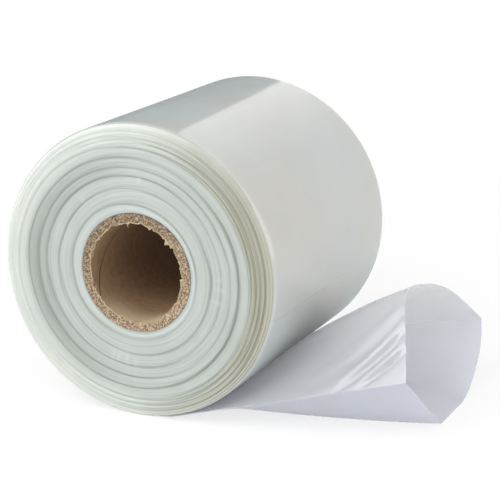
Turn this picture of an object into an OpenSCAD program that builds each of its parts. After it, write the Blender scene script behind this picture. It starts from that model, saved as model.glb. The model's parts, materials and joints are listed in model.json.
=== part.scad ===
// Roll of layflat poly tubing: a flattened tube of clear film wound on a paper core, whose loose end
// has been opened so that it stands as a mouth. The roll's axis lies along Y, the loose end runs
// towards +X, and the origin is the middle of the core's bore.

/* [Film] */
// Width of the tubing when it lies flat, from crease to crease
film_w = 222; // [180:1:280]
// Thickness of the wall of the loose end
film_t = 0.5; // [0.4:0.1:1]
// Length of film from the bottom of the roll to the lip of the mouth
tail_l = 217; // [180:1:260]

/* [Winding] */
// Outer radius of the wound film
roll_r = 114; // [100:1:130]
// How far the turns drift past the film's own width at each end
drift = 1; // [0.5:0.1:2]
// Radius that rounds the last turns into the end faces
shoulder_r = 4; // [2:0.5:6]
// Half width of the grooves between bands of turns
groove_w = 0.9; // [0.5:0.1:1.5]
// Half width of the flat that the soft roll rests on
flat_half = 12; // [6:1:16]

/* [Core] */
// Radius of the bore, half of the usual 3 inches
bore_r = 38.1; // [30:0.1:40]
// Thickness of the wound paper wall
core_t = 7.7; // [5:0.1:9]
// How far the core stands out of the film at each end
core_out = 0.5; // [0:0.1:3]
// Clearance between the core and the first turn of film
core_fit = 0.1; // [0.05:0.05:0.3]
// How far the tears in the bore's near edge reach into the wall
tear_in = 1.4; // [0.4:0.1:2.5]
// How far they reach along the bore
tear_deep = 2.4; // [0.5:0.1:5]

/* [Mouth] */
// Angle up the roll at which both creases leave it, in degrees
crease_deg = 15; // [12:0.5:18]
// Angle up the roll at which the top of the mouth's upper layer leaves it, in degrees
top_deg = 34; // [28:0.5:38]
// How far the upper layer swells above a straight line from the roll to the lip
swell = 5; // [0:0.5:8]
// How far the lower layer sags below one, down to the floor
sag = 12; // [0:0.5:14]
// Height of the folds that run back from the near side of the lip
pleat_h = 1.6; // [0:0.1:2]

/* [Hidden] */

core_r = bore_r + core_t;
film_bore_r = core_r + core_fit;
roll_l = film_w + 2 * drift;
floor_z = -sqrt(roll_r ^ 2 - flat_half ^ 2);
rise_deg = top_deg - crease_deg;

// Each layer of the mouth as [share of the film's width, place across as a share of it, angle up the roll].
upper_lip = [
    [0, -0.425, crease_deg],
    [0.13, -0.352, crease_deg + 0.38 * rise_deg],
    [0.27, -0.246, crease_deg + 0.77 * rise_deg],
    [0.41, -0.125, top_deg],
    [0.55, 0.015, top_deg - 0.12 * rise_deg],
    [0.70, 0.150, top_deg - 0.36 * rise_deg],
    [0.85, 0.268, top_deg - 0.72 * rise_deg],
    [1, 0.385, crease_deg - 1]
];
lower_lip = [
    [0, -0.425, crease_deg],
    [0.13, -0.330, 0.60 * crease_deg],
    [0.26, -0.232, 0.25 * crease_deg],
    [0.39, -0.135, 0],
    [0.52, -0.005, 0],
    [0.65, 0.118, 0.05 * crease_deg],
    [0.77, 0.225, 0.27 * crease_deg],
    [0.89, 0.318, 0.57 * crease_deg],
    [1, 0.385, crease_deg - 1]
];

// Folds of the upper layer, as [place across at the lip, place across at the back, length back from the lip].
pleats = [[0.20, 0.03, 60], [0.125, 0.05, 36]];
pleat_w = 5;

// Bands of turns from the core outwards, as [share of the winding, drift to one side, depth of the groove outside].
bands = [
    [0.11, 0.0, 0.8], [0.28, 0.5, 0.7], [0.43, -0.2, 0.7], [0.53, 0.4, 0.8], [0.67, 0.8, 1.8],
    [0.77, -0.6, 1.2], [0.85, 0.1, 0.7], [0.90, -0.3, 0.6], [0.95, 0.2, 0.5], [1, 0, 0]
];

// Gap between the layers of film where the loose end is still flat.
layer_gap = 0.3;
// How far the loose end reaches back under the last turn, along it and into it.
root_deg = 5;
root_depth = 3;
// Points across each layer of the loose end, and its rings from the roll to the lip.
across_n = 36;
ring_n = 18;
// How much closer the points lie at the near crease and at the lip, where the folds are.
across_power = 1.4;
ring_power = 1.4;
across = [for (i = [0 : across_n]) (i / across_n) ^ across_power];
curve_fn = 128;
// Tears round the bore's near edge, the radius of one, and how far a cutter runs past what it cuts.
tears_n = 22;
tear_r = 4;
cut_over = 1;

function unit(v) = v / norm(v);
function blend(a, b, t) = a + (b - a) * t;
function bell(x) = exp(-x * x);

// Smooth curve through a list of points, read at a share of it from 0 to 1.
function curve_at(points, share) =
    let (
        n = len(points) - 1,
        i = min(floor(share * n), n - 1),
        f = share * n - i,
        a = points[max(i - 1, 0)],
        b = points[i],
        c = points[i + 1],
        d = points[min(i + 2, n)]
    )
    b + f * ((c - a) + f * ((2 * a - 5 * b + 4 * c - d) + f * (3 * b - a - 3 * c + d))) / 2;

// The film leaves the roll along a tangent, and every thread of it has the same length. s runs to 1 at the lip.
function film_at(lip, t, s) =
    let (
        at = curve_at(lip, t),
        angle = at[2],
        root_y = (at[0] - 0.5) * film_w,
        lip_y = at[1] * film_w,
        free_l = tail_l - roll_r * angle * PI / 180,
        run = sqrt(free_l ^ 2 - (lip_y - root_y) ^ 2)
    )
    [
        roll_r * sin(angle) + s * run * cos(angle),
        blend(root_y, lip_y, s),
        -roll_r * cos(angle) + s * run * sin(angle)
    ];

// The way out of the tube from one layer. side is 1 on the upper layer and -1 on the lower one.
function film_out(lip, t, s, side) =
    let (
        step = 0.01,
        across = film_at(lip, min(t + step, 1), s) - film_at(lip, max(t - step, 0), s),
        forward = film_at(lip, t, s + step) - film_at(lip, t, s)
    )
    side * unit(cross(forward, across));

// Height of the folds at a place of the upper layer.
function pleat_at(t, s) =
    let (place = curve_at(upper_lip, t)[0], back = (1 - s) * tail_l)
    pleat_h * sum([
        for (p = pleats)
            let (
                fade = max(1 - back / p[2], 0),
                x = (place - blend(p[0], p[1], back / p[2])) * film_w / pleat_w
            )
            fade ^ 0.5 * (bell(x - 1) - bell(x + 1))
    ]);
function sum(list) = [for (x = list) 1] * list;

// One point of the loose end's skin, lifted off the film's inner face.
function skin_at(side, t, s, lift) =
    let (
        lip = side > 0 ? upper_lip : lower_lip,
        edge = t == 0 ? -1 : t == 1 ? 1 : 0,
        bow = sin(180 * t) * sin(180 * s),
        form = side > 0 ? swell * bow + pleat_at(t, s) : sag * bow,
        at = film_at(lip, t, s) + film_out(lip, t, s, side) * (lift + form)
    )
    [at[0], at[1] + edge * (lift - layer_gap / 2), at[2]];

// The same point where the film is tucked under the last turn.
function root_at(side, t, lift) =
    let (
        at = curve_at(side > 0 ? upper_lip : lower_lip, t),
        angle = at[2] - root_deg,
        r = roll_r - root_depth - side * lift
    )
    [r * sin(angle), (at[0] - 0.5) * film_w, -r * cos(angle)];

// A closed ring round the tube: across the upper layer and back across the lower one.
function ring_at(s, lift) = concat(
    [for (t = across) skin_at(1, t, s, lift)],
    [for (i = [across_n : -1 : 0]) skin_at(-1, across[i], s, lift)]
);
function root_ring(lift) = concat(
    [for (t = across) root_at(1, t, lift)],
    [for (i = [across_n : -1 : 0]) root_at(-1, across[i], lift)]
);

// The inner face stays one wall above the floor.
function above_floor(ring) = [for (p = ring) [p[0], p[1], max(p[2], floor_z + film_t)]];

module loose_end() {
    inner_lift = layer_gap / 2;
    outer_lift = inner_lift + film_t;
    shares = [for (i = [0 : ring_n]) 1 - (1 - i / ring_n) ^ ring_power];
    outer = concat([root_ring(outer_lift)], [for (s = shares) ring_at(s, outer_lift)]);
    inner = concat([root_ring(inner_lift)], [for (s = shares) above_floor(ring_at(s, inner_lift))]);
    n = len(outer[0]);
    rows = len(outer);
    loops = concat(outer, [for (i = [rows - 1 : -1 : 0]) inner[i]]);
    count = len(loops);
    points = [for (loop = loops) each loop];
    faces = [
        for (i = [0 : count - 1], j = [0 : n - 1])
            let (
                a = i * n + j,
                b = i * n + (j + 1) % n,
                c = ((i + 1) % count) * n + (j + 1) % n,
                d = ((i + 1) % count) * n + j
            )
            each [[a, b, c], [a, c, d]]
    ];
    polyhedron(points, faces, convexity = 6);
}

// One end face of the winding, from the core out to the shoulder. away is -1 on the near end and 1 on the far one.
function end_face(away) =
    let (
        depth = roll_r - film_bore_r,
        end_y = away * roll_l / 2,
        last = len(bands) - 1
    )
    concat(
        [for (i = [0 : last])
            let (
                shift = -bands[i][1],
                inner_r = film_bore_r + (i == 0 ? 0 : bands[i - 1][0] * depth + groove_w),
                outer_r = film_bore_r + bands[i][0] * depth,
                groove_y = end_y + shift - away * bands[i][2]
            )
            each i == last
                ? [[inner_r, end_y + shift]]
                : [[inner_r, end_y + shift], [outer_r - groove_w, end_y + shift], [outer_r, groove_y]]
        ],
        [for (angle = [90 : -15 : 0])
            [roll_r - shoulder_r + shoulder_r * cos(angle), end_y - away * shoulder_r * (1 - sin(angle))]]
    );

module wound_film() {
    near = end_face(-1);
    far = end_face(1);
    rotate([-90, 0, 0])
        rotate_extrude($fn = curve_fn)
            polygon(concat(near, [for (i = [len(far) - 1 : -1 : 0]) far[i]]));
}

module below_floor() {
    reach = tail_l + roll_r;
    translate([-reach, -roll_l, floor_z - roll_r])
        cube([2 * reach, 2 * roll_l, roll_r]);
}

module tubing() {
    color([0.84, 0.86, 0.85])
        difference() {
            union() {
                wound_film();
                loose_end();
            }
            below_floor();
        }
}

// The torn near edge of the bore: scallops of uneven size and spacing.
module tears(core_l) {
    for (i = [0 : tears_n - 1]) {
        turn = (i + 0.35 * sin(137.5 * i)) * 360 / tears_n;
        reach = tear_in * (0.6 + 0.4 * sin(222 * i));
        deep = tear_deep * (0.6 + 0.4 * sin(75 * i + 40));
        r = tear_r * (1 + 0.4 * sin(101 * i));
        rotate([0, 0, turn])
            translate([bore_r + reach - r, 0, -core_l / 2 - cut_over])
                cylinder(h = deep + cut_over, r = r, $fn = curve_fn);
    }
}

module core() {
    core_l = roll_l + 2 * core_out;
    color([0.66, 0.53, 0.38])
        rotate([-90, 0, 0])
            difference() {
                cylinder(h = core_l, r = core_r, center = true, $fn = curve_fn);
                cylinder(h = core_l + 2 * cut_over, r = bore_r, center = true, $fn = curve_fn);
                tears(core_l);
            }
}

core();
tubing();
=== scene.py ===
"""Roll of layflat poly tubing: milky wound film, an opened loose end and a torn paper core in a pale studio.

The file is laid out as an add-on. Its operators make one piece or one group of like pieces each.
All sizes are in metres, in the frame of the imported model: the roll's axis along Y, the loose end towards +X.
"""
import json
import math
import random

import bpy
import numpy as np
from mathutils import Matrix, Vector

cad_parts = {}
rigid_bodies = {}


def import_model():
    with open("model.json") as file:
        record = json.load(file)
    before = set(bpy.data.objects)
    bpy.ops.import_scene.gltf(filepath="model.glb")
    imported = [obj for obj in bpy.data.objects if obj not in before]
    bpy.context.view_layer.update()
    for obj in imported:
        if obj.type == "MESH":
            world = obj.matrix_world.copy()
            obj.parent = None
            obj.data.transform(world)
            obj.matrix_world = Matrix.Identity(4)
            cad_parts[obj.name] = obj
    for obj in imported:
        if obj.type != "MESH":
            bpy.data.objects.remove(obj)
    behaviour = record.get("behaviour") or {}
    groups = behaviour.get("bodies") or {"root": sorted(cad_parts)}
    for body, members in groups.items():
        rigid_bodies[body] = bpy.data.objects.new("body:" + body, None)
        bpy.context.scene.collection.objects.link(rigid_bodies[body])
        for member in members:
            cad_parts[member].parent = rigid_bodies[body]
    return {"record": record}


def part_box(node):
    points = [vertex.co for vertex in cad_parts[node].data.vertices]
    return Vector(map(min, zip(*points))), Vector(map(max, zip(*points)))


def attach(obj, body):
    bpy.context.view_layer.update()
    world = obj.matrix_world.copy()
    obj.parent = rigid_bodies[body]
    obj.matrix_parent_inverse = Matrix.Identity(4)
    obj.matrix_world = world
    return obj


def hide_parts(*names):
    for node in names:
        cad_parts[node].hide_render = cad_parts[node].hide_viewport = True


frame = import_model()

bl_info = {
    "name": "Roll of poly tubing",
    "version": (1, 0, 0),
    "blender": (4, 5, 0),
    "location": "View3D > Sidebar > Poly tubing",
    "description": "Makes the wound film, its loose end and the paper core, and a plain studio around them",
    "category": "Object",
}

MM = 0.001
TUBING_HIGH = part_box("tubing")[1]
CORE_LOW, CORE_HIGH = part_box("core")
MOUNTS = {mount["name"]: mount for mount in frame["record"]["mounts"]}
BORE_R = MOUNTS["core_bore"]["dims"]["r_mm"] * MM
FLOOR_Z = MOUNTS["rest"]["pos_m"][2]


def linear(hex_colour):
    """An sRGB colour such as #C4C8C6 as linear red, green and blue."""
    shares = [int(hex_colour[i:i + 2], 16) / 255 for i in (1, 3, 5)]
    return [s / 12.92 if s <= 0.04045 else ((s + 0.055) / 1.055) ** 2.4 for s in shares]


def length(name, description, default):
    """A size in metres that a user may change."""
    return bpy.props.FloatProperty(name=name, description=description, default=default, min=0,
                                   precision=5, unit="LENGTH", subtype="DISTANCE")


def angle(name, description, degrees):
    """An angle that a user may change."""
    return bpy.props.FloatProperty(name=name, description=description, default=math.radians(degrees),
                                   unit="ROTATION", subtype="ANGLE")


def colour(name, description, hex_colour):
    """A colour that a user may change."""
    return bpy.props.FloatVectorProperty(name=name, description=description, size=3, min=0, max=1,
                                         default=linear(hex_colour), subtype="COLOR")


class RollSizes(bpy.types.PropertyGroup):
    """Sizes of the wound roll and its core."""

    roll_r: length("Roll radius", "Outer radius of the wound film", TUBING_HIGH.z)
    roll_l: length("Roll length", "Length of the winding between its end faces", 224 * MM)
    film_w: length("Film width", "Width of the flat tubing from crease to crease", 222 * MM)
    shoulder_r: length("Shoulder", "Radius that rounds the last turns into the end faces", 4 * MM)
    core_r: length("Core radius", "Outer radius of the paper core", CORE_HIGH.x)
    core_l: length("Core length", "Length of the paper core", CORE_HIGH.y - CORE_LOW.y)
    bore_r: length("Bore radius", "Radius of the core's bore", BORE_R)
    core_fit: length("Core fit", "Clearance between the core and the first turn", 0.1 * MM)


class LooseEndSizes(bpy.types.PropertyGroup):
    """Sizes of the loose end and its mouth."""

    film_t: length("Film thickness", "Thickness of the film's wall as drawn", 0.3 * MM)
    tail_l: length("Length", "Length of film from the bottom of the roll to the lip", 217 * MM)
    crease: angle("Crease angle", "Angle up the roll at which both creases leave it", 15)
    top: angle("Top angle", "Angle up the roll at which the top of the mouth leaves it", 34)
    swell: length("Swell", "How far the upper layer swells above a straight line", 5 * MM)
    sag: length("Sag", "How far the lower layer sags towards the floor", 12 * MM)
    gap: length("Gap", "Gap between the layers where the film is still flat", 0.3 * MM)


class RollColours(bpy.types.PropertyGroup):
    """Colours of the film and the paper."""

    film: colour("Film", "Milky film seen on the side of the roll", "#B6BBBA")
    film_warm: colour("Film, warm", "Warmer patches of the same film", "#B7B6B1")
    edge: colour("Film edges", "Edges of the turns on the end faces", "#BBC0BB")
    # Painted light: the outer turns take this paler colour where the lamps light the end faces.
    rim: colour("Rim", "Paler edges of the outer turns", "#D4D9D3")
    groove: colour("Grooves", "What a groove between bands of turns leaves of the light", "#CDD0CC")
    # Painted shade: the outer turns on the right, away from the lamps, take this darker warm grey.
    khaki_shade: colour("Shaded right edges", "Warmer tint of the outer turns on the right", "#B4B2A2")
    cool: colour("First turns", "Bluish tint of the turns next to the core", "#D3DEE2")
    loose: colour("Loose film", "Upper layer of the loose end", "#CACED2")
    # Painted light: the lower layer takes this bluish colour for the light that the floor throws up at it.
    loose_floor_lit: colour("Loose film, below", "Lower layer of the loose end, bluish against the floor", "#CBCFDD")
    board: colour("Board", "Cut end of the paper core", "#9F8A74")
    board_dark: colour("Board shadows", "Dark specks in the cut end", "#654F3B")
    board_light: colour("Board fibres", "Pale fibres in the cut end and along the tear", "#CAB89A")
    liner: colour("Liner", "Kraft paper inside the bore", "#9C8064")


class StudioSettings(bpy.types.PropertyGroup):
    """The camera's place and the studio around the roll."""

    azimuth: angle("Azimuth", "How far the camera stands to the right of the roll's near end", 24.73)
    elevation: angle("Elevation", "How far above the horizon the camera stands", 15.46)
    distance: length("Distance", "From the camera to the point that it looks at", 1.4009)
    aim_x: length("Aim X", "The point that the camera looks at, across", 42.6 * MM)
    aim_z: bpy.props.FloatProperty(name="Aim Z", description="Height of that point above the bore's middle",
                                   default=-5.4 * MM, unit="LENGTH", subtype="DISTANCE")
    lens: bpy.props.FloatProperty(name="Lens", description="Focal length in millimetres", default=126.7,
                                  min=10, subtype="NONE")
    floor_size: length("Floor", "Side of the square floor", 8.0)
    paper: colour("Paper sweep", "Matt white paper that the roll stands on", "#FCFCFC")
    dark_room: colour("Dark side", "The unlit side of the room that the gloss mirrors", "#98A2A6")


# Modelling helpers


def deselect_all():
    """Nothing stays selected, the CAD nodes included."""
    for other in bpy.context.view_layer.objects:
        other.select_set(False)


def begin(name, add, **settings):
    """A new primitive, alone in the selection and named."""
    deselect_all()
    add(**settings)
    piece = bpy.context.object
    piece.name = name
    piece.data.name = name
    return piece


def vectors_of(items, key):
    """The places of vertices or the middles of faces, as an array of x, y, z."""
    flat = np.empty(len(items) * 3)
    items.foreach_get(key, flat)
    return flat.reshape(-1, 3)


def coords_of(piece):
    """The mesh's vertices as an array of x, y, z."""
    return vectors_of(piece.data.vertices, "co")


def move_to(piece, coords):
    """Moves the mesh's vertices to new places."""
    piece.data.vertices.foreach_set("co", np.ascontiguousarray(coords, float).ravel())
    piece.data.update()


def add_attribute(piece, name, values):
    """A number on each vertex that a material can read."""
    attribute = piece.data.attributes.new(name, "FLOAT", "POINT")
    attribute.data.foreach_set("value", np.asarray(values, np.float32))


def turned(name, profile, steps):
    """A closed outline of (radius, y) points, drawn as an extruded vertex and spun round the Y axis."""
    piece = begin(name, bpy.ops.mesh.primitive_plane_add, size=MM)
    bpy.ops.object.mode_set(mode="EDIT")
    bpy.ops.mesh.select_mode(type="VERT")
    bpy.ops.mesh.select_all(action="SELECT")
    bpy.ops.mesh.merge(type="CENTER")
    first = Vector((profile[0][0], profile[0][1], 0))
    bpy.ops.transform.translate(value=first)
    last = first
    for radius, y in [*profile[1:], profile[0]]:
        point = Vector((radius, y, 0))
        bpy.ops.mesh.extrude_region_move(TRANSFORM_OT_translate={"value": point - last})
        last = point
    bpy.ops.mesh.select_all(action="SELECT")
    bpy.ops.mesh.spin(steps=steps, angle=2 * math.pi, center=(0, 0, 0), axis=(0, 1, 0))
    bpy.ops.mesh.select_all(action="SELECT")
    bpy.ops.mesh.remove_doubles(threshold=0.001 * MM)
    bpy.ops.mesh.normals_make_consistent(inside=False)
    bpy.ops.object.mode_set(mode="OBJECT")
    bpy.ops.object.shade_smooth()
    return piece


def open_tube(name, columns, rows):
    """A circle extruded upwards, whose vertices are then laid in place by their angle round it and their row."""
    step = 10 * MM
    piece = begin(name, bpy.ops.mesh.primitive_circle_add, vertices=columns, radius=0.1, fill_type="NOTHING")
    bpy.ops.object.mode_set(mode="EDIT")
    bpy.ops.mesh.select_mode(type="VERT")
    bpy.ops.mesh.select_all(action="SELECT")
    for _ in range(rows):
        bpy.ops.mesh.extrude_region_move(TRANSFORM_OT_translate={"value": (0, 0, step)})
    bpy.ops.object.mode_set(mode="OBJECT")
    co = coords_of(piece)
    return piece, np.arctan2(co[:, 1], co[:, 0]), np.round(co[:, 2] / step)


def recalculate_normals():
    """Makes all faces of the active piece point outwards."""
    bpy.ops.object.mode_set(mode="EDIT")
    bpy.ops.mesh.select_all(action="SELECT")
    bpy.ops.mesh.normals_make_consistent(inside=False)
    bpy.ops.object.mode_set(mode="OBJECT")


def give_wall(piece, thickness, offset, smooth_to):
    """Gives a sheet its thickness, and smooths all its edges up to an angle in degrees."""
    wall = piece.modifiers.new("Wall", "SOLIDIFY")
    wall.thickness = thickness
    wall.offset = offset
    wall.use_even_offset = False
    bpy.ops.object.modifier_apply(modifier=wall.name)
    bpy.ops.object.shade_smooth_by_angle(angle=math.radians(smooth_to))


def finish_piece(piece, node):
    """Checks that the piece has faces, hides the CAD part that it stands for and attaches it to the root body.
    """
    if len(piece.data.polygons) == 0:
        raise RuntimeError(f"{piece.name} has no faces")
    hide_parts(node)
    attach(piece, "root")


# Numbers that vary smoothly


def smoothstep(x):
    """From 0 to 1 as x goes from 0 to 1, with soft ends."""
    x = np.clip(x, 0, 1)
    return x * x * (3 - 2 * x)


def bell(x):
    """A bump of height 1 and half width 1."""
    return np.exp(-x * x)


def degrees_from(turn, degrees):
    """How far each angle lies from one in degrees, the short way round."""
    return (np.degrees(turn) - degrees + 180) % 360 - 180


def ripple(place, waves, seed):
    """A smooth uneven line or surface between about -1 and 1: a sum of sines with seeded phases.

    place is one array or a list of arrays, and waves has the highest wave count along each of them."""
    dice = random.Random(seed)
    places = place if isinstance(place, (list, tuple)) else [place]
    total = 0
    terms = 9
    for i in range(terms):
        turn = sum(dice.uniform(0.25, 1) * count * where * dice.choice((-1, 1))
                   for where, count in zip(places, waves))
        total = total + np.sin(2 * math.pi * (turn + dice.random()))
    return total / math.sqrt(terms * 2)


def curve_at(points, share):
    """A smooth curve through a list of points, read at shares of it from 0 to 1, as the solids have it."""
    points = np.array(points, float)
    n = len(points) - 1
    share = np.asarray(share, float)
    i = np.minimum(np.floor(share * n).astype(int), n - 1)
    f = (share * n - i)[..., None]
    a, b = points[np.maximum(i - 1, 0)], points[i]
    c, d = points[i + 1], points[np.minimum(i + 2, n)]
    return b + f * ((c - a) + f * ((2 * a - 5 * b + 4 * c - d) + f * (3 * b - a - 3 * c + d))) / 2


# The winding

# Bands of turns from the core outwards. Each has the share of the winding where it ends, how far that border
# lies off the axis to the right and up as shares too, and in millimetres the band's drift to one side and
# the depth of the groove outside.
BANDS = ((0.100, -0.024, -0.004, 0.0, 0.40), (0.265, -0.023, -0.006, 0.5, 0.35),
         (0.413, -0.038, -0.005, -0.2, 0.35), (0.523, -0.036, -0.019, 0.4, 0.40),
         (0.633, -0.057, -0.026, 0.8, 0.65), (0.762, -0.060, -0.037, -0.6, 0.50),
         (0.825, -0.050, -0.025, 0.1, 0.35), (0.872, -0.043, -0.033, -0.3, 0.30),
         (0.912, -0.021, -0.015, 0.2, 0.30), (1.0, 0.0, 0.0, 0.0, 0.0))
# The turns beyond this band stand apart and take a painted shade, warm grey, on the right; on the left those
# beyond the band before it lie flush.
RIGHT_SHADE_FROM = 5
FLUSH_FROM = 4
# The least share of the winding that a band's crown is worked out from.
NARROWEST = 0.03
# In millimetres: how far a band's crown stands out, and how much more for its share of the winding, the width
# over which one band steps to the next, a groove's half width, and the spacing of the lines between turns.
CROWN = 0.25
CROWN_BY_WIDTH = 3.2
STEP_W = 1.8
GROOVE_W = 0.95
LINE_GAP = 2.4
FINE_LINE_GAP = 1.2
# How much of the shoulder, from the end face on, shows the edges of the turns.
EDGE_SHARE = 0.25
# Dents across the rings: angle round the roll in degrees, share of the winding and half length as a share.
DENTS = ((-107, 0.36, 0.07), (-103, 0.35, 0.06), (-97, 0.34, 0.08), (-91, 0.37, 0.06), (-12, 0.34, 0.05),
         (-4, 0.36, 0.06), (2, 0.35, 0.05), (87, 0.38, 0.05), (130, 0.33, 0.05))
# The slight swells along the side: how high they are, and how far apart.
SIDE_SWELL = 0.12 * MM
SWELL_GAP = 60 * MM
# Steps of the spin, and points of its outline on the near end, the far end and the side.
SPIN_STEPS = 336
END_POINTS = 160
FAR_POINTS = 80
SIDE_POINTS = 36


def border_at(band, turn):
    """Where a band ends, as a share of the winding at each angle round the roll."""
    share, right, up = band[:3]
    ring = share + right * np.cos(turn) + up * np.sin(turn)
    if share < 1:
        ring = ring - 0.010 * np.sin(2 * turn) + 0.004 * ripple(np.sin(turn), [2.5], int(share * 1000))
    return ring


def end_relief(share, turn, winding):
    """How far the film stands out of an end face in metres, and from 0 to 1 its painted shade, its painted shade
    on the right and its painted light.

    share runs from the core to the rim, turn is the angle round the roll and winding the film's depth."""
    height = np.full(share.shape, BANDS[0][3])
    shade = np.zeros(share.shape)
    to_right = np.clip(np.cos(turn), 0, 1)
    inner = np.zeros(share.shape)
    for i, band in enumerate(BANDS):
        border = border_at(band, turn)
        crown = np.clip((share - inner) / (border - inner), 0, 1)
        height += (CROWN + CROWN_BY_WIDTH * np.maximum(border - inner, NARROWEST)) * 4 * crown * (1 - crown)
        inner = border
        if i == len(BANDS) - 1:
            break
        strength = 1.0 if i < RIGHT_SHADE_FROM else 0.15 + 0.85 * smoothstep(0.45 + 0.8 * np.cos(turn + 0.1))
        away = (share - border) * winding / MM
        height += (BANDS[i + 1][3] - band[3]) * smoothstep(away / STEP_W + 0.5)
        strength *= 0.75 + 0.2 * np.sin(turn * 2 + 2.1 * i) + 0.15 * np.sin(turn * 5 + 1.3 * i)
        height -= band[4] * strength * bell(away / GROOVE_W)
        shade += (0.3 + band[4]) * strength * (0.85 * bell(away / 1.0) + 0.22 * bell((away - 1.2) / 2.6))
    # Painted shade: on the right, away from the lamps, the outer turns are painted darker and warm grey.
    right_shade_from = border_at(BANDS[RIGHT_SHADE_FROM], turn)
    right_shade = smoothstep((share - right_shade_from) / 0.02) * smoothstep((1.015 - share) / 0.06) * to_right
    # Painted light: the outer turns are painted paler towards the rim, less on the right, away from the lamps.
    pale = smoothstep((share - 0.60) / 0.40) * (1 - 0.75 * to_right)
    shade += 0.5 * bell(share / 0.022) + 0.6 * bell((1 - share) / 0.012)
    fine = ripple([share * winding / (LINE_GAP * MM), np.cos(turn), np.sin(turn)], [1.0, 0.5, 0.5], 11)
    finer = ripple([share * winding / (FINE_LINE_GAP * MM), np.sin(turn)], [1.0, 0.4], 12)
    # On the left the outer turns lie flush and show fewer lines, and the turns inside them take a broad painted
    # shade.
    to_left = np.clip(-np.cos(turn), 0, 1)
    flush = border_at(BANDS[FLUSH_FROM], turn)
    shade += 0.62 * to_left * smoothstep((share - 0.3) / 0.3) * smoothstep((flush + 0.02 - share) / 0.04)
    lined = (0.42 + 1.5 * right_shade) * (1 - 0.85 * to_left * smoothstep((share - flush) / 0.05))
    height += (0.12 * fine + 0.09 * finer) * lined
    shade += np.clip(-0.55 * fine - 0.65 * finer, 0, 1) * lined
    for degrees, middle, half_length in DENTS:
        dent = bell(degrees_from(turn, degrees) / 1.3) * bell((share - middle) / half_length)
        height += 0.10 * dent
        shade *= 1 - 0.5 * dent
        pale = np.maximum(pale, 0.25 * dent)
    return height * MM, np.clip(shade, 0, 1), right_shade, pale


def winding_profile(sizes):
    """The outline that is spun into the roll: up one end face, round the shoulder, along and back."""
    inner_r = sizes.core_r + sizes.core_fit
    outer_r = sizes.roll_r - sizes.shoulder_r
    half = sizes.roll_l / 2
    shoulder = []
    for degrees in range(10, 90, 10):
        a = math.radians(degrees)
        shoulder.append((outer_r + sizes.shoulder_r * math.sin(a), half - sizes.shoulder_r * (1 - math.cos(a))))
    near = [(r, -half) for r in np.linspace(inner_r, outer_r, END_POINTS)] + [(r, -y) for r, y in shoulder]
    straight = half - sizes.shoulder_r
    side = [(sizes.roll_r, y) for y in np.linspace(-straight, straight, SIDE_POINTS)]
    far = [(r, half) for r in np.linspace(inner_r, outer_r, FAR_POINTS)] + shoulder
    return near + side + far[::-1]


class POLY_OT_wound_film(bpy.types.Operator):
    """Spins the wound film and gives its ends their bands of turns"""

    bl_idname = "poly_roll.wound_film"
    bl_label = "Wound film"

    def execute(self, context):
        sizes, colours = context.scene.roll_sizes, context.scene.roll_colours
        piece = turned("wound_film", winding_profile(sizes), SPIN_STEPS)
        co = coords_of(piece)
        radius = np.hypot(co[:, 0], co[:, 2])
        turn = np.arctan2(co[:, 2], co[:, 0])
        half = sizes.roll_l / 2
        inner_r = sizes.core_r + sizes.core_fit
        depth = sizes.roll_r - inner_r
        share = (radius - inner_r) / depth
        at_end = np.clip((np.abs(co[:, 1]) - (half - sizes.shoulder_r)) / sizes.shoulder_r, 0, 1)
        rise, shade, right_shade, pale = end_relief(share, turn, depth)
        side = np.sign(co[:, 1])
        # A turn that has drifted out of the near end lies deeper at the far one.
        height = np.where(side < 0, rise, -0.6 * rise)
        co[:, 1] += side * height * smoothstep(at_end)
        swell = SIDE_SWELL * ripple([co[:, 1] / SWELL_GAP, turn / 3.1], [1, 1], 5)
        grow = 1 + np.where(at_end < 0.98, swell / sizes.roll_r, 0)
        co[:, 0] *= grow
        co[:, 2] *= grow
        co[:, 2] = np.maximum(co[:, 2], FLOOR_Z)
        move_to(piece, co)
        # The end faces read painted shade, painted shade on the right and painted light from these.
        add_attribute(piece, "shade", shade * smoothstep(at_end * 1.5))
        add_attribute(piece, "right_shade", right_shade)
        add_attribute(piece, "pale", pale)
        add_attribute(piece, "winding", np.clip(share, 0, 1))
        piece.data.materials.append(wound_side_material(colours))
        piece.data.materials.append(wound_end_material(colours))
        middles = vectors_of(piece.data.polygons, "center")
        on_end = np.abs(middles[:, 1]) > half - sizes.shoulder_r * EDGE_SHARE
        piece.data.polygons.foreach_set("material_index", on_end.astype(np.int32))
        finish_piece(piece, "tubing")
        return {"FINISHED"}


# The loose end

# Steps across one layer and along it, and how much closer they lie at the near crease and at the lip. Twice
# one more than the first divides by four, so that the circle's vertices fall on whole columns.
ACROSS_N = 151
ALONG_N = 118
CROWDING = 1.4
# The part that is tucked under the last turn: its share of the length, and how far round and deep it goes.
ROOT_SHARE = 0.05
ROOT_TURN = math.radians(6)
ROOT_DEPTH = 1.2 * MM
# Folds of the upper layer near the lip: place across at the lip and at the back as shares of the width,
# length back from the lip, half width and height in millimetres.
PLEATS = ((0.205, 0.018, 66, 4.6, 2.6), (0.128, 0.02, 44, 3.6, 2.2), (0.27, 0.05, 95, 6.5, 1.2))
# What is left of them at the lip, and how far back from it they are whole, in millimetres.
FOLD_AT_LIP = 0.35
FOLD_WHOLE = 14
FLOOR_GAP = 0.05 * MM


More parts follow.
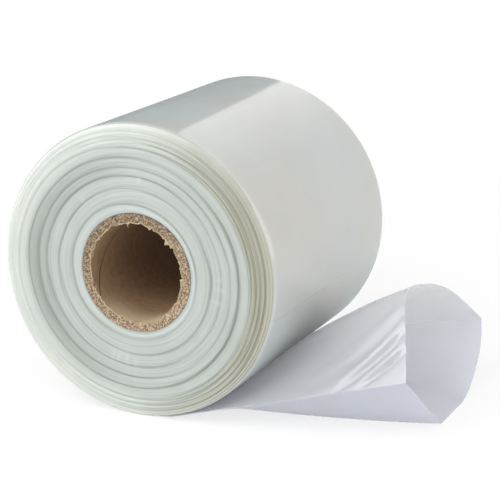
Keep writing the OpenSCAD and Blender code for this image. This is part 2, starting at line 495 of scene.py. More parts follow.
def lips(sizes):
    """The upper and the lower edge of the mouth, as in the solids.

    Each point has its share of the film's width, its place across as a share of it, and the angle up the roll
    at which the film there leaves it."""
    crease, top = sizes.crease, sizes.top
    rise = top - crease
    low = crease - math.radians(1)
    upper = [(0, -0.425, crease), (0.13, -0.352, crease + 0.38 * rise), (0.27, -0.246, crease + 0.77 * rise),
             (0.41, -0.125, top), (0.55, 0.015, top - 0.12 * rise), (0.70, 0.150, top - 0.36 * rise),
             (0.85, 0.268, top - 0.72 * rise), (1, 0.385, low)]
    lower = [(0, -0.425, crease), (0.13, -0.330, 0.60 * crease), (0.26, -0.232, 0.25 * crease),
             (0.39, -0.135, 0), (0.52, -0.005, 0), (0.65, 0.118, 0.05 * crease),
             (0.77, 0.225, 0.27 * crease), (0.89, 0.318, 0.57 * crease), (1, 0.385, low)]
    return upper, lower


def film_at(lip, t, s, roll, loose):
    """A point of the film, which leaves the roll along a tangent. s runs from the roll to 1 at the lip."""
    at = curve_at(lip, t)
    root_y = (at[:, 0] - 0.5) * roll.film_w
    lip_y = at[:, 1] * roll.film_w
    up = at[:, 2]
    free = loose.tail_l - roll.roll_r * up
    run = np.sqrt(free ** 2 - (lip_y - root_y) ** 2)
    return np.stack([roll.roll_r * np.sin(up) + s * run * np.cos(up),
                     root_y + (lip_y - root_y) * s,
                     -roll.roll_r * np.cos(up) + s * run * np.sin(up)], axis=1)


def film_out(lip, t, s, roll, loose, side):
    """The way out of the tube, away from its inside."""
    step = 0.01
    across = (film_at(lip, np.minimum(t + step, 1), s, roll, loose)
              - film_at(lip, np.maximum(t - step, 0), s, roll, loose))
    forward = film_at(lip, t, s + step, roll, loose) - film_at(lip, t, s, roll, loose)
    normal = np.cross(forward, across)
    return side * normal / np.linalg.norm(normal, axis=1)[:, None]


def folds(lip, t, s, roll, loose):
    """Height of the folds that run back from the near side of the lip, in metres."""
    place = curve_at(lip, t)[:, 0]
    back = (1 - s) * loose.tail_l / MM
    total = np.zeros(len(t))
    for at_lip, at_back, long, half_w, high in PLEATS:
        fade = np.clip(1 - back / long, 0, 1)
        middle = at_lip + (at_back - at_lip) * back / long
        x = (place - middle) * roll.film_w / MM / half_w
        total += high * np.sqrt(fade) * (bell(x - 1) - bell(x + 1))
    return total * MM * (FOLD_AT_LIP + (1 - FOLD_AT_LIP) * smoothstep(back / FOLD_WHOLE))


def layer_points(lip, side, t, s, roll, loose):
    """The inner face of one layer, with its bow, folds and slight crumple."""
    free = np.clip(s, 0, 1)
    bow = np.sin(math.pi * t) * np.sin(math.pi * free)
    if side > 0:
        form = loose.swell * bow + folds(lip, t, free, roll, loose)
    else:
        form = loose.sag * bow
    hold = smoothstep(free * 3) * np.sin(math.pi * np.clip(t, 0.004, 0.996)) ** 0.5
    crumple = ripple([t * 3 + free, free * 1.5], [1.6, 1.2], 21 if side > 0 else 22) * 0.35
    tension = ripple([t * 9 - free * 1.5, free * 0.8], [0.8, 0.6], 23 if side > 0 else 24) * 0.06
    form = form + (crumple + tension) * MM * hold
    at = film_at(lip, t, free, roll, loose)
    out = film_out(lip, t, free, roll, loose, side)
    at = at + out * (loose.gap / 2 + form)[:, None]
    # Behind the tangent the film follows the last turn round and goes under it.
    back = np.clip(-s, 0, None) / ROOT_SHARE
    up = curve_at(lip, t)[:, 2] - ROOT_TURN * back
    r = roll.roll_r - side * loose.gap / 2 - ROOT_DEPTH * back
    root = np.stack([r * np.sin(up), (curve_at(lip, t)[:, 0] - 0.5) * roll.film_w, -r * np.cos(up)], axis=1)
    return np.where((s < 0)[:, None], root, at)


class POLY_OT_loose_end(bpy.types.Operator):
    """Extrudes the loose end as a tube and lays its two layers from the roll to the open mouth"""

    bl_idname = "poly_roll.loose_end"
    bl_label = "Loose end"

    def execute(self, context):
        roll, loose = context.scene.roll_sizes, context.scene.loose_end_sizes
        count = 2 * (ACROSS_N + 1)
        piece, turn, row = open_tube("loose_end", count, ALONG_N)
        column = np.round((turn % (2 * math.pi)) / (2 * math.pi) * count).astype(int) % count
        upper_side = column <= ACROSS_N
        place = np.where(upper_side, column, count - 1 - column) / ACROSS_N
        t = place ** CROWDING
        s = 1 - (1 - row / ALONG_N) ** CROWDING * (1 + ROOT_SHARE)
        upper, lower = lips(loose)
        shape = np.empty((len(row), 3))
        shape[upper_side] = layer_points(upper, 1, t[upper_side], s[upper_side], roll, loose)
        shape[~upper_side] = layer_points(lower, -1, t[~upper_side], s[~upper_side], roll, loose)
        shape[:, 2] = np.maximum(shape[:, 2], FLOOR_Z + loose.film_t)
        move_to(piece, shape)
        add_attribute(piece, "across", np.where(upper_side, place, 2 - place))
        add_attribute(piece, "along", s)
        recalculate_normals()
        # An open tube may come out inside out: the upper layer has to face up.
        highest = max(piece.data.polygons, key=lambda face: face.center.z)
        if highest.normal.z < 0:
            piece.data.flip_normals()
        give_wall(piece, loose.film_t, 1, 50)
        co = coords_of(piece)
        co[:, 2] = np.maximum(co[:, 2], FLOOR_Z + FLOOR_GAP)
        move_to(piece, co)
        piece.data.materials.append(loose_film_material(context.scene.roll_colours))
        finish_piece(piece, "tubing")
        return {"FINISHED"}


# The paper core

# Steps of the spin, and points of its outline along the bore and across the wall.
CORE_STEPS = 480
BORE_POINTS = 70
BOARD_POINTS = 12
# The near edge of the bore is torn, as in the solids: how many tears, the radius of one, and how far they
# reach into the wall and along the bore.
TEARS = 22
TEAR_R = 4 * MM
TEAR_IN = 1.4 * MM
TEAR_DEEP = 2.4 * MM
# How far the torn line wavers, and how much further the tear reaches along the bore.
WAVER = 0.35 * MM
TEAR_FADE = 0.6 * MM
# Shreds of the torn liner that stick into the bore: angle round it in degrees, half width and length in mm.
SHREDS = ((100, 0.40, 4.6), (98, 1.6, 1.3), (71, 2.5, 3.4), (66, 1.4, 2.0), (45, 2.4, 4.4), (38, 2.2, 3.2),
          (52, 1.6, 1.6), (-2, 1.6, 2.2), (-8, 0.9, 1.0), (-22, 1.3, 0.7), (-50, 2.0, 0.6), (-96, 1.2, 0.9),
          (-112, 1.6, 1.2), (-124, 0.8, 1.6), (-136, 1.8, 0.9), (-150, 1.0, 0.7), (-166, 0.7, 1.0),
          (157, 1.6, 1.0), (143, 0.9, 1.1), (127, 1.8, 0.8), (16, 1.4, 0.5), (114, 0.8, 0.9))


def tears_at(turn, bore_r):
    """How far the tears reach into the wall and along the bore at each angle round it."""
    reach_in = np.zeros(turn.shape)
    along = np.full(turn.shape, 0.3 * MM)
    for i in range(TEARS):
        # The solids count the angle the other way round.
        middle = -math.radians((i + 0.35 * math.sin(math.radians(137.5 * i))) * 360 / TEARS)
        reach = TEAR_IN * (0.6 + 0.4 * math.sin(math.radians(222 * i)))
        deep = TEAR_DEEP * (0.6 + 0.4 * math.sin(math.radians(75 * i + 40)))
        r = TEAR_R * (1 + 0.4 * math.sin(math.radians(101 * i)))
        centre = bore_r + reach - r
        away = turn - middle
        inside = r ** 2 - (centre * np.sin(away)) ** 2
        edge = centre * np.cos(away) + np.sqrt(np.maximum(inside, 0)) - bore_r
        bites = (inside > 0) & (np.cos(away) > 0) & (edge > reach_in)
        reach_in = np.where(bites, edge, reach_in)
        along = np.where(bites, deep, along)
    return reach_in, along


def ragged(turn):
    """The uneven line of torn paper, between about -1 and 1."""
    round_share = turn / (2 * math.pi)
    # Sines of whole turns, so that the line meets itself.
    dice = random.Random(31)
    line = np.zeros(turn.shape)
    for count in (23, 31, 47, 58, 83, 101, 139):
        line += np.sin(2 * math.pi * (count * round_share + dice.random())) * (23 / count) ** 0.4
    return line / 3


def core_profile(sizes):
    """The outline of the core's wall: near end, outside, far end and back along the bore."""
    half = sizes.core_l / 2
    end = np.linspace(sizes.bore_r, sizes.core_r, BOARD_POINTS)
    near = [(r, -half) for r in end]
    far = [(r, half) for r in reversed(end)]
    outside = [(sizes.core_r, y) for y in np.linspace(-half, half, 8)[1:-1]]
    share = np.linspace(0, 1, BORE_POINTS)[1:-1]
    # The rows lie closer at the two edges, where the paper is torn.
    bore = [(sizes.bore_r, half * math.cos(math.pi * x)) for x in share]
    return near + outside + far + bore


class POLY_OT_paper_core(bpy.types.Operator):
    """Spins the paper core and tears the inner edge of its near end"""

    bl_idname = "poly_roll.paper_core"
    bl_label = "Paper core"

    def execute(self, context):
        sizes, colours = context.scene.roll_sizes, context.scene.roll_colours
        piece = turned("paper_core", core_profile(sizes), CORE_STEPS)
        co = coords_of(piece)
        radius = np.hypot(co[:, 0], co[:, 2])
        turn = np.arctan2(co[:, 2], co[:, 0])
        half = sizes.core_l / 2
        wall = sizes.core_r - sizes.bore_r
        in_wall = np.clip((radius - sizes.bore_r) / wall, 0, 1)
        from_end = half + co[:, 1]
        torn_in, torn_along = tears_at(turn, sizes.bore_r)
        torn_in = torn_in + WAVER * (1 + ragged(turn))
        near_edge = smoothstep((1 - from_end / (torn_along + TEAR_FADE)) / 0.5) * (1 - in_wall)
        rough = ripple([co[:, 0] / 0.012, co[:, 2] / 0.012], [3, 3], 33) * 0.12 * MM
        scale = 1 + near_edge * torn_in / radius
        co[:, 0] *= scale
        co[:, 2] *= scale
        sunk = np.clip(near_edge * 2 - 1, 0, 1) * (0.2 + 0.15 * ragged(turn + 1))
        co[:, 1] += np.where(from_end < 0.5 * MM, rough + sunk * MM, 0)
        move_to(piece, co)
        add_attribute(piece, "torn", near_edge)
        # The cut end is darker towards its upper left.
        add_attribute(piece, "toward_upper_left", 0.5 - 0.5 * np.cos(turn + math.radians(50)))
        # Painted light: the bottom of the bore by the opening is painted paler, where light from the front falls
        # into it.
        low = smoothstep((-np.sin(turn) - 0.5) / 0.45)
        add_attribute(piece, "lit_bottom", low * smoothstep((30 * MM - from_end) / (26 * MM)))
        piece.data.materials.append(board_material(colours))
        piece.data.materials.append(liner_material(colours))
        # The liner is 0.6 mm thick, and at both ends its last 1.2 mm shows the board's fibres.
        middles = vectors_of(piece.data.polygons, "center")
        inside = np.hypot(middles[:, 0], middles[:, 2]) < sizes.bore_r + 0.6 * MM
        inside &= np.abs(middles[:, 1]) < half - 1.2 * MM
        piece.data.polygons.foreach_set("material_index", inside.astype(np.int32))
        bpy.ops.object.shade_smooth_by_angle(angle=math.radians(40))
        finish_piece(piece, "core")
        return {"FINISHED"}


LINER_COLUMNS = 1080
LINER_ROWS = 6
PAPER_T = 0.15 * MM


class POLY_OT_torn_liner(bpy.types.Operator):
    """Extrudes the thin torn edge of the liner and lays its fibres and shreds round the bore"""

    bl_idname = "poly_roll.torn_liner"
    bl_label = "Torn liner"

    def execute(self, context):
        sizes = context.scene.roll_sizes
        piece, turn, row = open_tube("torn_liner", LINER_COLUMNS, LINER_ROWS)
        row = row / LINER_ROWS
        half = sizes.core_l / 2
        torn_in, _ = tears_at(turn, sizes.bore_r)
        edge_r = sizes.bore_r + torn_in + WAVER * (1 + ragged(turn))
        flap = 0.25 + 0.35 * ragged(turn + 2.0)
        for degrees, half_w, long in SHREDS:
            across = degrees_from(turn, degrees) * math.radians(1) * sizes.bore_r / MM
            flap = np.maximum(flap, long * bell(across / half_w) ** 2)
        flap = np.maximum(flap, 0.12) * MM
        # From the end face over the torn edge to the free tip inside the bore.
        over = 0.45 * MM * (1 + 0.7 * ragged(turn + 4.0))
        r = np.where(row < 0.5, edge_r + over * (1 - row * 2), edge_r - flap * (row * 2 - 1))
        lift = 0.05 + 0.22 * np.sin(math.pi * row) + 0.12 * ragged(turn + 3.0) * row
        y = -half - lift * MM + np.clip(row * 2 - 1, 0, 1) * flap * 0.35
        move_to(piece, np.stack([r * np.cos(turn), y, r * np.sin(turn)], axis=1))
        recalculate_normals()
        give_wall(piece, PAPER_T, 0, 40)
        piece.data.materials.append(fibre_material(context.scene.roll_colours))
        finish_piece(piece, "core")
        return {"FINISHED"}


# Materials

# Settings that many nodes share. A mix of colours has its two colours in the inputs 6 and 7.
BLEND = {"data_type": "RGBA"}
TIMES = {"data_type": "RGBA", "blend_type": "MULTIPLY"}
SOFT = {"interpolation_type": "SMOOTHSTEP"}
WHITE = (1, 1, 1, 1)
FILM_IOR = 1.51
# Lines between turns on the end faces, the pitch of the liner's helix, and where its seam starts, in turns.
LINES_PER_METRE = 1100.0
SEAM_PITCH = 156 * MM
SEAM_START = 0.115


def new_material(name):
    """An empty node material with its Principled shader and output."""
    material = bpy.data.materials.new(name)
    material.use_nodes = True
    tree = material.node_tree
    shader = tree.nodes["Principled BSDF"]
    return material, tree, shader


def connect(tree, made, inputs):
    """Sets the inputs of a node or shader, each to a value or to what comes out of another node."""
    for name, value in inputs.items():
        if isinstance(value, bpy.types.NodeSocket):
            tree.links.new(value, made.inputs[name])
        else:
            made.inputs[name].default_value = value


def node(tree, kind, settings=None, inputs=None, output=0):
    """Adds one node with its settings, values and links, and gives the socket that comes out of it."""
    made = tree.nodes.new("ShaderNode" + kind)
    for name, value in (settings or {}).items():
        setattr(made, name, value)
    connect(tree, made, inputs or {})
    return made.outputs[output]


def uneven(tree, place, scale, detail, low, high):
    """A cloudy change of tone between two factors."""
    cloud = node(tree, "TexNoise", inputs={"Vector": place, "Scale": scale, "Detail": detail})
    return node(tree, "MapRange",
                inputs={"Value": cloud, "From Min": 0.3, "From Max": 0.7, "To Min": low, "To Max": high})


def ramp(tree, place, way, start, end, low, high):
    """A number that goes softly from one value to another along a direction."""
    along = node(tree, "VectorMath", {"operation": "DOT_PRODUCT"}, {0: place, 1: way}, output=1)
    return node(tree, "MapRange", SOFT,
                {"Value": along, "From Min": start, "From Max": end, "To Min": low, "To Max": high})


def rgba(rgb):
    """A colour socket's four values."""
    return (*rgb, 1.0)


def wound_side_material(colours):
    """Low-density polyethylene film, blown and wound tight.

    Many clear turns lie on each other, so the side is milky with a smooth, wet gloss."""
    material, tree, shader = new_material("blown_ldpe_film_wound")
    place = node(tree, "TexCoord", output=3)
    # Die lines run round the roll; real ones are finer, and 4 mm shows in the picture.
    lines = node(tree, "Mapping", inputs={"Vector": place, "Scale": (4, 250, 4)})
    streaks = node(tree, "TexNoise", inputs={"Vector": lines, "Scale": 1.0, "Detail": 3.0})
    tone = uneven(tree, place, 18.0, 2.0, 0.97, 1.03)
    drift = node(tree, "TexNoise", inputs={"Vector": place, "Scale": 9.0, "Detail": 1.0})
    warmth = node(tree, "MapRange", inputs={"Value": drift, "From Min": 0.35, "From Max": 0.65})
    hue = node(tree, "Mix", BLEND, {"Factor": warmth, 6: rgba(colours.film), 7: rgba(colours.film_warm)},
               output=2)
    film = node(tree, "Mix", TIMES, {"Factor": 1.0, 6: hue, 7: tone}, output=2)
    bump = node(tree, "Bump", inputs={"Height": streaks, "Strength": 0.12, "Distance": 0.4 * MM})
    # Low down the last turn is slack and handled, so its gloss is duller.
    parts = node(tree, "SeparateXYZ", inputs={"Vector": place}, output=2)
    dulled = node(tree, "MapRange", SOFT,
                  {"Value": parts, "From Min": 10 * MM, "From Max": -60 * MM, "To Min": 0.12, "To Max": 0.42})
    connect(tree, shader, {"Base Color": film, "Normal": bump, "Roughness": dulled, "IOR": FILM_IOR,
                           "Subsurface Weight": 0.7, "Subsurface Radius": (1.0, 1.0, 0.95),
                           "Subsurface Scale": 18 * MM})
    return material


def wound_end_material(colours):
    """The folded edges of the same film, side by side.

    Light goes in between the turns, so the face is soft, greenish and nearly matt, with darker grooves."""
    material, tree, shader = new_material("blown_ldpe_film_edges")
    place = node(tree, "TexCoord", output=3)
    shade, share, right_shade, pale = (node(tree, "Attribute", {"attribute_name": name}, output=2)
                                for name in ("shade", "winding", "right_shade", "pale"))
    flat = node(tree, "VectorMath", {"operation": "MULTIPLY"}, {0: place, 1: (1, 0, 1)})
    radius = node(tree, "VectorMath", {"operation": "LENGTH"}, {0: flat}, output=1)
    # One turn of flat tubing is about 0.3 mm; pairs of 0.9 mm are as fine as the picture can show.
    turns = node(tree, "Math", {"operation": "MULTIPLY"}, {0: radius, 1: LINES_PER_METRE})
    lines = node(tree, "TexNoise", {"noise_dimensions": "1D"}, {"W": turns, "Scale": 1.0, "Detail": 1.5})
    first = node(tree, "MapRange", SOFT,
                 {"Value": share, "From Min": 0.02, "From Max": 0.12, "To Min": 0.30, "To Max": 0.0})
    cool = node(tree, "Mix", BLEND, {"Factor": first, 6: rgba(colours.edge), 7: rgba(colours.cool)}, output=2)
    # Painted light: the outer turns are painted in the paler rim colour where the lamps light them.
    rim = node(tree, "Mix", BLEND, {"Factor": pale, 6: cool, 7: rgba(colours.rim)}, output=2)
    # Painted shade: the outer turns on the right are painted darker and warm grey, with deeper lines between
    # turns.
    warm = node(tree, "Mix", BLEND, {"Factor": right_shade, 6: rim, 7: rgba(colours.khaki_shade)}, output=2)
    line_depth = node(tree, "MapRange", inputs={"Value": right_shade, "To Min": 0.10, "To Max": 0.5})
    line_shade = node(tree, "MapRange", inputs={"Value": lines, "From Min": 0.35, "From Max": 0.6,
                                                "To Min": line_depth, "To Max": 0.0})
    all_shade = node(tree, "Math", {"operation": "ADD", "use_clamp": True}, {0: shade, 1: line_shade})
    # Full shade takes two fifths of the light, whatever the turns' own colour.
    depth = node(tree, "Mix", BLEND, {"Factor": all_shade, 6: WHITE, 7: rgba(colours.groove)}, output=2)
    grooved = node(tree, "Mix", TIMES, {"Factor": 1.0, 6: warm, 7: depth}, output=2)
    tone = uneven(tree, place, 30.0, 2.0, 0.97, 1.03)
    final = node(tree, "Mix", TIMES, {"Factor": 1.0, 6: grooved, 7: tone}, output=2)
    bump = node(tree, "Bump", inputs={"Height": lines, "Strength": 0.15, "Distance": 0.5 * MM})
    connect(tree, shader, {"Base Color": final, "Normal": bump, "Roughness": 0.38, "IOR": FILM_IOR,
                           "Subsurface Weight": 0.6, "Subsurface Radius": (1.0, 1.05, 0.95),
                           "Subsurface Scale": 2.5 * MM})
    return material


def loose_film_material(colours):
    """The same film as one layer: half clear, bluish grey, with a sharp gloss and faint die lines."""
    material, tree, shader = new_material("blown_ldpe_film_single")
    across, along = (node(tree, "Attribute", {"attribute_name": name}, output=2)
                     for name in ("across", "along"))
    sheet = node(tree, "CombineXYZ", inputs={0: across, 1: along})
    stretched = node(tree, "Mapping", inputs={"Vector": sheet, "Scale": (7, 1.2, 1)})
    tone = uneven(tree, stretched, 1.0, 3.0, 0.985, 1.01)
    # Painted light: the lower layer is painted bluish, for the light that the floor throws up at it.
    below = node(tree, "MapRange", SOFT, {"Value": across, "From Min": 0.7, "From Max": 1.2})
    layer = node(tree, "Mix", BLEND, {"Factor": below, 6: rgba(colours.loose), 7: rgba(colours.loose_floor_lit)},
                 output=2)
    film = node(tree, "Mix", TIMES, {"Factor": 1.0, 6: layer, 7: tone}, output=2)
    connect(tree, shader, {"Base Color": film, "Roughness": 0.17, "IOR": FILM_IOR, "Specular IOR Level": 0.85,
                           "Subsurface Weight": 0.8, "Subsurface Radius": (1.0, 1.0, 1.0),
                           "Subsurface Scale": 2 * MM, "Alpha": 0.45})
    return material


def board_material(colours):
    """Chipboard of recycled paper, wound and cut with a saw: a dull tan surface full of short fibres."""
    material, tree, shader = new_material("cut_chipboard")
    place = node(tree, "TexCoord", output=3)
    torn = node(tree, "Attribute", {"attribute_name": "torn"}, output=2)
    # Fibre clumps of about 0.7 mm, in patches of about 4 mm.
    specks = node(tree, "TexNoise", inputs={"Vector": place, "Scale": 700.0, "Detail": 3.0, "Roughness": 0.7})
    dark = node(tree, "MapRange",
                inputs={"Value": specks, "From Min": 0.36, "From Max": 0.5, "To Min": 1.0, "To Max": 0.0})
    pale = node(tree, "MapRange",
                inputs={"Value": specks, "From Min": 0.5, "From Max": 0.62, "To Min": 0.0, "To Max": 0.9})
    patches = uneven(tree, place, 260.0, 2.0, 0.82, 1.1)
    base = node(tree, "Mix", BLEND, {"Factor": dark, 6: rgba(colours.board), 7: rgba(colours.board_dark)},
                output=2)
    fibres = node(tree, "Mix", BLEND, {"Factor": pale, 6: base, 7: rgba(colours.board_light)}, output=2)
    frayed = node(tree, "MapRange", SOFT,
                  {"Value": torn, "From Min": 0.85, "From Max": 1.0, "To Min": 0.0, "To Max": 0.8})
    edged = node(tree, "Mix", BLEND, {"Factor": frayed, 6: fibres, 7: rgba(colours.board_light)}, output=2)
    # The upper left of the end is darker than the lower right.
    toward_upper_left = node(tree, "Attribute", {"attribute_name": "toward_upper_left"}, output=2)
    upper_left_tone = node(tree, "MapRange", inputs={"Value": toward_upper_left, "To Min": 1.05, "To Max": 0.68})
    toned = node(tree, "Math", {"operation": "MULTIPLY"}, {0: patches, 1: upper_left_tone})
    final = node(tree, "Mix", TIMES, {"Factor": 1.0, 6: edged, 7: toned}, output=2)
    bump = node(tree, "Bump", inputs={"Height": specks, "Strength": 0.8, "Distance": 0.5 * MM})
    connect(tree, shader, {"Base Color": final, "Normal": bump, "Roughness": 0.95, "Specular IOR Level": 0.2})
    return material


def fibre_material(colours):
    """Torn kraft liner: pale loose fibres with darker bits between them."""
    material, tree, shader = new_material("torn_kraft_fibres")
    place = node(tree, "TexCoord", output=3)
    # Fibres of about 0.5 mm.
    specks = node(tree, "TexNoise", inputs={"Vector": place, "Scale": 1100.0, "Detail": 3.0})
    worn = node(tree, "MapRange",
                inputs={"Value": specks, "From Min": 0.38, "From Max": 0.55, "To Min": 0.8, "To Max": 0.0})
    # The pale fibres come in stretches of about 10 mm.
    stretches = node(tree, "TexNoise", inputs={"Vector": place, "Scale": 95.0, "Detail": 1.0})
    flat = node(tree, "MapRange",
                inputs={"Value": stretches, "From Min": 0.42, "From Max": 0.58, "To Min": 0.0, "To Max": 0.85})
    dull = node(tree, "Math", {"operation": "MAXIMUM"}, {0: worn, 1: flat})
    mixed = node(tree, "Mix", BLEND, {"Factor": dull, 6: rgba(colours.board_light), 7: rgba(colours.board)},
                 output=2)
    bump = node(tree, "Bump", inputs={"Height": specks, "Strength": 0.6, "Distance": 0.4 * MM})
    connect(tree, shader, {"Base Color": mixed, "Normal": bump, "Roughness": 0.95, "Specular IOR Level": 0.2})
    return material


def liner_material(colours):
    """Kraft liner wound in a helix inside the core: smooth brown paper with one dark seam."""
    material, tree, shader = new_material("wound_kraft_liner")
    place = node(tree, "TexCoord", output=3)
    tone = uneven(tree, place, 220.0, 4.0, 0.85, 1.12)
    parts = tree.nodes.new("ShaderNodeSeparateXYZ")
    connect(tree, parts, {0: place})
    turn = node(tree, "Math", {"operation": "ARCTAN2"}, {0: parts.outputs[2], 1: parts.outputs[0]})
    turns = node(tree, "Math", {"operation": "DIVIDE"}, {0: turn, 1: 2 * math.pi})
    pitch = node(tree, "Math", {"operation": "DIVIDE"}, {0: parts.outputs[1], 1: SEAM_PITCH})
    phase = node(tree, "Math", {"operation": "ADD"}, {0: turns, 1: pitch})
    shift = node(tree, "Math", {"operation": "ADD"}, {0: phase, 1: SEAM_START})
    wrapped = node(tree, "Math", {"operation": "PINGPONG"}, {0: shift, 1: 0.5})
    seam = node(tree, "MapRange", SOFT,
                {"Value": wrapped, "From Min": 0.002, "From Max": 0.007, "To Min": 0.25, "To Max": 1.0})
    both = node(tree, "Math", {"operation": "MULTIPLY"}, {0: tone, 1: seam})
    final = node(tree, "Mix", TIMES, {"Factor": 1.0, 6: rgba(colours.liner), 7: both}, output=2)
    # Painted light: the bottom of the bore by the opening is painted paler, where light from the front falls
    # into it.
    lit_bottom = node(tree, "Attribute", {"attribute_name": "lit_bottom"}, output=2)
    share = node(tree, "Math", {"operation": "MULTIPLY"}, {0: lit_bottom, 1: 0.6})
    worn = node(tree, "Mix", BLEND, {"Factor": share, 6: final, 7: rgba(colours.board_light)}, output=2)
    bump = node(tree, "Bump", inputs={"Height": seam, "Strength": 0.6, "Distance": 0.3 * MM})
    connect(tree, shader, {"Base Color": worn, "Normal": bump, "Roughness": 0.8, "Specular IOR Level": 0.3})
    return material


# Directions: across the room and the floor, negative on the unlit side; away behind the roll; and towards the
# brighter walls.
ACROSS_ROOM = Vector((1.0, 0.425, -0.27)).normalized()
ACROSS_FLOOR = (1.0, 0.425, 0.0)
BACKWARDS = (0, 1, 0)
TO_BRIGHT = Vector((0.95, -0.25, 0)).normalized()


def seen_in_rays(tree):
    """What is 1 for rays that see the background straight or through the film, and for those in its gloss."""
    path = tree.nodes.new("ShaderNodeLightPath")
    clear = node(tree, "Math", {"operation": "MAXIMUM"},
                 {0: path.outputs["Is Camera Ray"], 1: path.outputs["Is Transmission Ray"]})
    return clear, path.outputs["Is Glossy Ray"]


def paper_sweep_material(studio):
    """Matt white paper. It looks white to the camera and in the gloss, and keeps a soft shadow."""
    material, tree, shader = new_material("matt_paper_sweep")
    place = node(tree, "TexCoord", output=3)
    away = node(tree, "VectorMath", {"operation": "LENGTH"}, {0: place}, output=1)
    # The shadow lies within half a metre; beyond it the paper is plain white.
    clean = node(tree, "MapRange", SOFT,
                 {"Value": away, "From Min": 0.25, "From Max": 0.8, "To Min": 0.75, "To Max": 1.0})
    # The gloss also finds the end of the paper, behind the roll on the left.
    unlit = ramp(tree, place, ACROSS_FLOOR, -0.1, 0.05, 1.0, 0.0)
    beyond = ramp(tree, place, BACKWARDS, 0.15, 0.45, 0.0, 1.0)
    clear, gloss = seen_in_rays(tree)
    in_gloss = node(tree, "Math", {"operation": "MULTIPLY"}, {0: gloss, 1: unlit})
    dark = node(tree, "Math", {"operation": "MULTIPLY"}, {0: in_gloss, 1: beyond})
    tint = node(tree, "Mix", BLEND, {"Factor": dark, 6: WHITE, 7: rgba(studio.dark_room)}, output=2)
    white = node(tree, "Emission", inputs={"Color": tint, "Strength": 1.0})
    either = node(tree, "Math", {"operation": "MAXIMUM"}, {0: clear, 1: gloss})
    seen = node(tree, "Math", {"operation": "MULTIPLY"}, {0: either, 1: clean})
    mixed = node(tree, "MixShader", inputs={0: seen, 1: shader.outputs[0], 2: white})
    connect(tree, tree.nodes["Material Output"], {"Surface": mixed})
    connect(tree, shader, {"Base Color": rgba(studio.paper), "Roughness": 1.0, "Specular IOR Level": 0.0})
    return material


def studio_world(studio):
    """A bright plain room, white to the camera. Its unlit side stands behind the roll on the left, next to
    its brightest part."""
    world = bpy.data.worlds.new("pale_room")
    bpy.context.scene.world = world
    world.use_nodes = True
    tree = world.node_tree
    ground = tree.nodes["Background"]
    way = node(tree, "TexCoord", output=0)
    unlit = ramp(tree, way, ACROSS_ROOM, -0.008, 0.008, 1.0, 0.0)
    far = ramp(tree, way, BACKWARDS, 0.1, 0.4, 0.0, 1.0)
    dark = node(tree, "Math", {"operation": "MULTIPLY"}, {0: unlit, 1: far})
    window = ramp(tree, way, ACROSS_ROOM, 0.05, 0.6, 1.55, 0.95)
    shine = node(tree, "Mix", {"data_type": "FLOAT"}, {"Factor": far, 2: 1.0, 3: window})
    lit = node(tree, "VectorMath", {"operation": "SCALE"}, {0: (1, 1, 1), "Scale": shine})
    room = node(tree, "Mix", BLEND, {"Factor": dark, 6: lit, 7: rgba(studio.dark_room)}, output=2)
    mirrored = node(tree, "Background", inputs={"Color": room, "Strength": 1.0})
    bright_side = node(tree, "VectorMath", {"operation": "DOT_PRODUCT"}, {0: way, 1: TO_BRIGHT}, output=1)
    ambient = node(tree, "MapRange", inputs={"Value": bright_side, "From Min": -1.0, "From Max": 1.0,
                                             "To Min": 0.3, "To Max": 0.85})
    connect(tree, ground, {"Color": WHITE, "Strength": ambient})
    white = node(tree, "Background", inputs={"Color": WHITE, "Strength": 1.0})
    clear, gloss = seen_in_rays(tree)
    in_gloss = node(tree, "MixShader", inputs={0: gloss, 1: ground.outputs[0], 2: mirrored})
    mixed = node(tree, "MixShader", inputs={0: clear, 1: in_gloss, 2: white})
    connect(tree, tree.nodes["World Output"], {"Surface": mixed})


# Lamps: name, place, the point that it faces, size and power in watts.
LAMPS = (("left_softbox", (-1.36, -0.6, 1.34), (0, 0, 0), 1.4, 13),
         ("right_softbox", (1.5, 0.15, 0.55), (0.1, 0, -0.05), 1.2, 6),
         ("far_softbox", (1.3, 1.0, 0.35), (0.1, 0.05, -0.1), 1.0, 4),
         ("front_softbox", (-0.3, -1.5, 1.35), (0.1, -0.1, -0.05), 1.2, 20))


def add_lamp(name, place, aim, size, power):
    """A square soft lamp that faces a point."""
    deselect_all()
    turn = (Vector(aim) - Vector(place)).to_track_quat("-Z", "Y").to_euler()
    bpy.ops.object.light_add(type="AREA", location=place, rotation=turn)
    lamp = bpy.context.object
    lamp.name = name
    lamp.data.name = name
    lamp.data.size = size
    lamp.data.energy = power


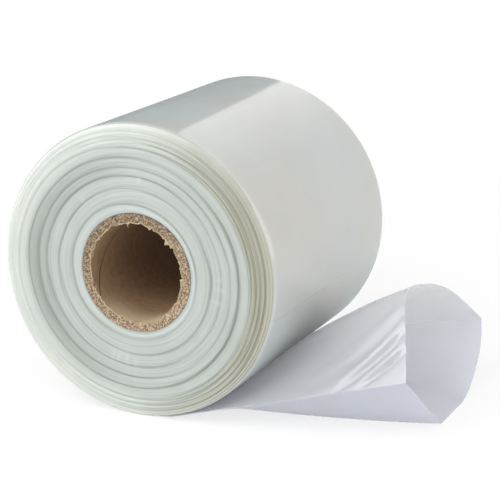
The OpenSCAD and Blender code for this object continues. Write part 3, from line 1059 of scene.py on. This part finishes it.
class POLY_OT_studio(bpy.types.Operator):
    """Lays the paper sweep, lights it and stands the camera where the photograph was taken"""

    bl_idname = "poly_roll.studio"
    bl_label = "Studio"

    def execute(self, context):
        studio = context.scene.studio_settings
        floor = begin("paper_sweep", bpy.ops.mesh.primitive_plane_add, size=studio.floor_size,
                      location=(0, 0, FLOOR_Z))
        floor.data.materials.append(paper_sweep_material(studio))
        studio_world(studio)
        for lamp in LAMPS:
            add_lamp(*lamp)
        deselect_all()
        turn, up = studio.azimuth, studio.elevation
        back = Vector((math.sin(turn) * math.cos(up), -math.cos(turn) * math.cos(up), math.sin(up)))
        aim = Vector((studio.aim_x, 0, studio.aim_z))
        bpy.ops.object.camera_add(location=aim + back * studio.distance,
                                  rotation=(math.pi / 2 - up, 0, turn))
        camera = context.object
        camera.name = "studio_camera"
        camera.data.lens = studio.lens
        camera.data.sensor_width = 36
        context.scene.camera = camera
        context.scene.view_settings.view_transform = "Standard"
        return {"FINISHED"}


class POLY_PT_sidebar(bpy.types.Panel):
    """Lists the operators and the sizes that they use"""

    bl_idname = "POLY_PT_sidebar"
    bl_label = "Poly tubing"
    bl_space_type = "VIEW_3D"
    bl_region_type = "UI"
    bl_category = "Poly tubing"

    def draw(self, context):
        for operator in OPERATORS:
            self.layout.operator(operator.bl_idname)
        for name, group in GROUPS.items():
            box = self.layout.box()
            box.label(text=name.replace("_", " ").capitalize())
            for key in group.__annotations__:
                box.prop(getattr(context.scene, name), key)


OPERATORS = (POLY_OT_wound_film, POLY_OT_loose_end, POLY_OT_paper_core, POLY_OT_torn_liner, POLY_OT_studio)
GROUPS = {"roll_sizes": RollSizes, "loose_end_sizes": LooseEndSizes, "roll_colours": RollColours,
          "studio_settings": StudioSettings}


def register():
    for group in GROUPS.values():
        bpy.utils.register_class(group)
    for name, group in GROUPS.items():
        setattr(bpy.types.Scene, name, bpy.props.PointerProperty(type=group))
    for made in (*OPERATORS, POLY_PT_sidebar):
        bpy.utils.register_class(made)


def unregister():
    for made in (POLY_PT_sidebar, *reversed(OPERATORS)):
        bpy.utils.unregister_class(made)
    for name in GROUPS:
        delattr(bpy.types.Scene, name)
    for group in reversed(GROUPS.values()):
        bpy.utils.unregister_class(group)


def main():
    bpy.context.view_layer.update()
    register()
    bpy.ops.poly_roll.wound_film()
    bpy.ops.poly_roll.loose_end()
    bpy.ops.poly_roll.paper_core()
    bpy.ops.poly_roll.torn_liner()
    bpy.ops.poly_roll.studio()


if __name__ == "__main__":
    main()
